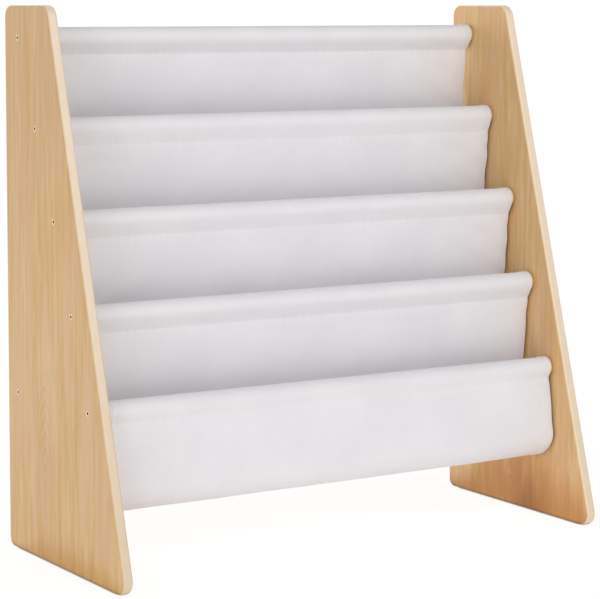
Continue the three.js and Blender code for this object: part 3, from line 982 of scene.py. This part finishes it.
def light_world():
    world = bpy.data.worlds.new("studio")
    bpy.context.scene.world = world
    world.use_nodes = True
    tree = world.node_tree
    background = tree.nodes["Background"]
    background.inputs["Color"].default_value = (1, 1, 1, 1)
    strength = ranged(tree, behind_everything(tree), 0, 1, AMBIENT, WHITE)
    tree.links.new(strength, background.inputs["Strength"])


def off_the_feet(tree, place):
    """0 on the floor under the flat feet of the side panels, rising to 1 close beside them, so that
    the thin dark line where a panel meets the floor isn't lifted away."""
    low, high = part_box("side_panel_right")
    foot_half_width = (high.x - low.x) / 2 - ARRIS_REACH
    foot_half_depth = (high.y - low.y) / 2 - FOOT_CORNER_REACH
    sideways = math_of(tree, "SUBTRACT", math_of(tree, "ABSOLUTE", axis_of(tree, place, 0)),
                       (low.x + high.x) / 2)
    across = math_of(tree, "SUBTRACT", math_of(tree, "ABSOLUTE", sideways), foot_half_width)
    endways = math_of(tree, "SUBTRACT", math_of(tree, "ABSOLUTE", axis_of(tree, place, 1)),
                      foot_half_depth)
    away = add(tree, "ShaderNodeCombineXYZ", {0: math_of(tree, "MAXIMUM", across),
                                              1: math_of(tree, "MAXIMUM", endways)})
    distance = add(tree, "ShaderNodeVectorMath", {0: away}, "Value", operation="LENGTH")
    return ranged(tree, distance, 0.0, CONTACT_WIDTH)


def lay_floor():
    """A pale floor that keeps the shelf's shadow close by and fades to plain white further off."""
    half = FLOOR_HALF
    mesh = bpy.data.meshes.new("floor")
    mesh.from_pydata([(-half, -half, 0), (half, -half, 0), (half, half, 0), (-half, half, 0)], [],
                     [(0, 1, 2, 3)])
    floor = bpy.data.objects.new("floor", mesh)
    bpy.context.scene.collection.objects.link(floor)
    floor.location.z = cad_low.z - FLOOR_GAP
    material = bpy.data.materials.new("studio_floor")
    material.use_nodes = True
    tree = material.node_tree
    tree.nodes.clear()
    paper = add(tree, "ShaderNodeBsdfDiffuse", {"Color": (*FLOOR_COLOUR, 1)})
    # The floor glows for rays other than the camera's: painted light that brightens the shelf from below
    glow = add(tree, "ShaderNodeEmission", {"Color": (*FLOOR_GLOW_COLOUR, 1), "Strength": FLOOR_GLOW})
    bounce_and_glow = add(tree, "ShaderNodeAddShader", {0: paper, 1: glow})
    white = add(tree, "ShaderNodeEmission", {"Color": (1, 1, 1, 1), "Strength": WHITE})
    lift = add(tree, "ShaderNodeEmission", {"Color": (1, 1, 1, 1), "Strength": FLOOR_LIFT})
    shown = add(tree, "ShaderNodeBsdfDiffuse", {"Color": (*FLOOR_SHOWN_COLOUR, 1)})
    lifted = add(tree, "ShaderNodeAddShader", {0: shown, 1: lift})
    place = add(tree, "ShaderNodeTexCoord", {}, "Object")
    away = add(tree, "ShaderNodeVectorMath", {0: place}, "Value", operation="LENGTH")
    near_by = ranged(tree, away, FLOOR_FADE_START, FLOOR_FADE_END, 1.0, 0.0)
    faded = add(tree, "ShaderNodeMixShader", {0: near_by, 1: white, 2: lifted})
    seen = add(tree, "ShaderNodeMixShader", {0: off_the_feet(tree, place), 1: paper, 2: faded})
    shader = add(tree, "ShaderNodeMixShader", {0: behind_everything(tree), 1: bounce_and_glow, 2: seen})
    output = tree.nodes.new("ShaderNodeOutputMaterial")
    tree.links.new(shader, output.inputs["Surface"])
    mesh.materials.append(material)


def place_camera():
    data = bpy.data.cameras.new("camera")
    camera = bpy.data.objects.new("camera", data)
    bpy.context.scene.collection.objects.link(camera)
    bpy.context.scene.camera = camera
    turn, down, roll = CAMERA_TURN, CAMERA_DOWN, CAMERA_ROLL
    forward = Vector((math.sin(turn) * math.cos(down), math.cos(turn) * math.cos(down),
                      -math.sin(down)))
    level = Vector((math.cos(turn), -math.sin(turn), 0))
    upright = level.cross(forward)
    right = level * math.cos(roll) + upright * math.sin(roll)
    axes = Matrix((right, right.cross(forward), -forward)).transposed().to_4x4()
    camera.matrix_world = Matrix.Translation(CAMERA_PLACE) @ axes
    data.sensor_width = SENSOR_WIDTH_MM
    data.lens = SENSOR_WIDTH_MM * FOCAL_PIXELS / IMAGE_WIDTH
    data.shift_x = (IMAGE_WIDTH / 2 - VIEW_CENTRE_PIXELS[0]) / IMAGE_WIDTH
    data.shift_y = (VIEW_CENTRE_PIXELS[1] - IMAGE_HEIGHT / 2) / IMAGE_WIDTH
    data.clip_end = CAMERA_REACH


def dress_frame():
    edges = smooth_edges()
    dowel = wood("maple_dowel", ROD_WOOD)
    steel = screw_steel()
    for side, look in (("left", LEFT_WOOD), ("right", RIGHT_WOOD)):
        board = f"side_panel_{side}"
        finish_node(board, wood(f"maple_board_{side}", look, board), edges)
    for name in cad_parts:
        if name.startswith("sling_rod") or name == "lower_back_rod":
            finish_node(name, dowel, edges)
        if name.startswith("screw"):
            finish_node(name, steel, edges)


def hang_sling():
    canvas, thread = canvas_cloth(), sewing_thread()
    for number in range(POCKETS):
        pocket = Pocket(number)
        cloth = pocket.make(canvas)
        stitches = stitches_of(pocket, thread)


place_camera()
dress_frame()
hang_sling()
light_world()
for lamp_name, lamp in LAMPS.items():
    add_lamp(lamp_name, **lamp)
lay_floor()
bpy.context.scene.view_settings.view_transform = "Standard"
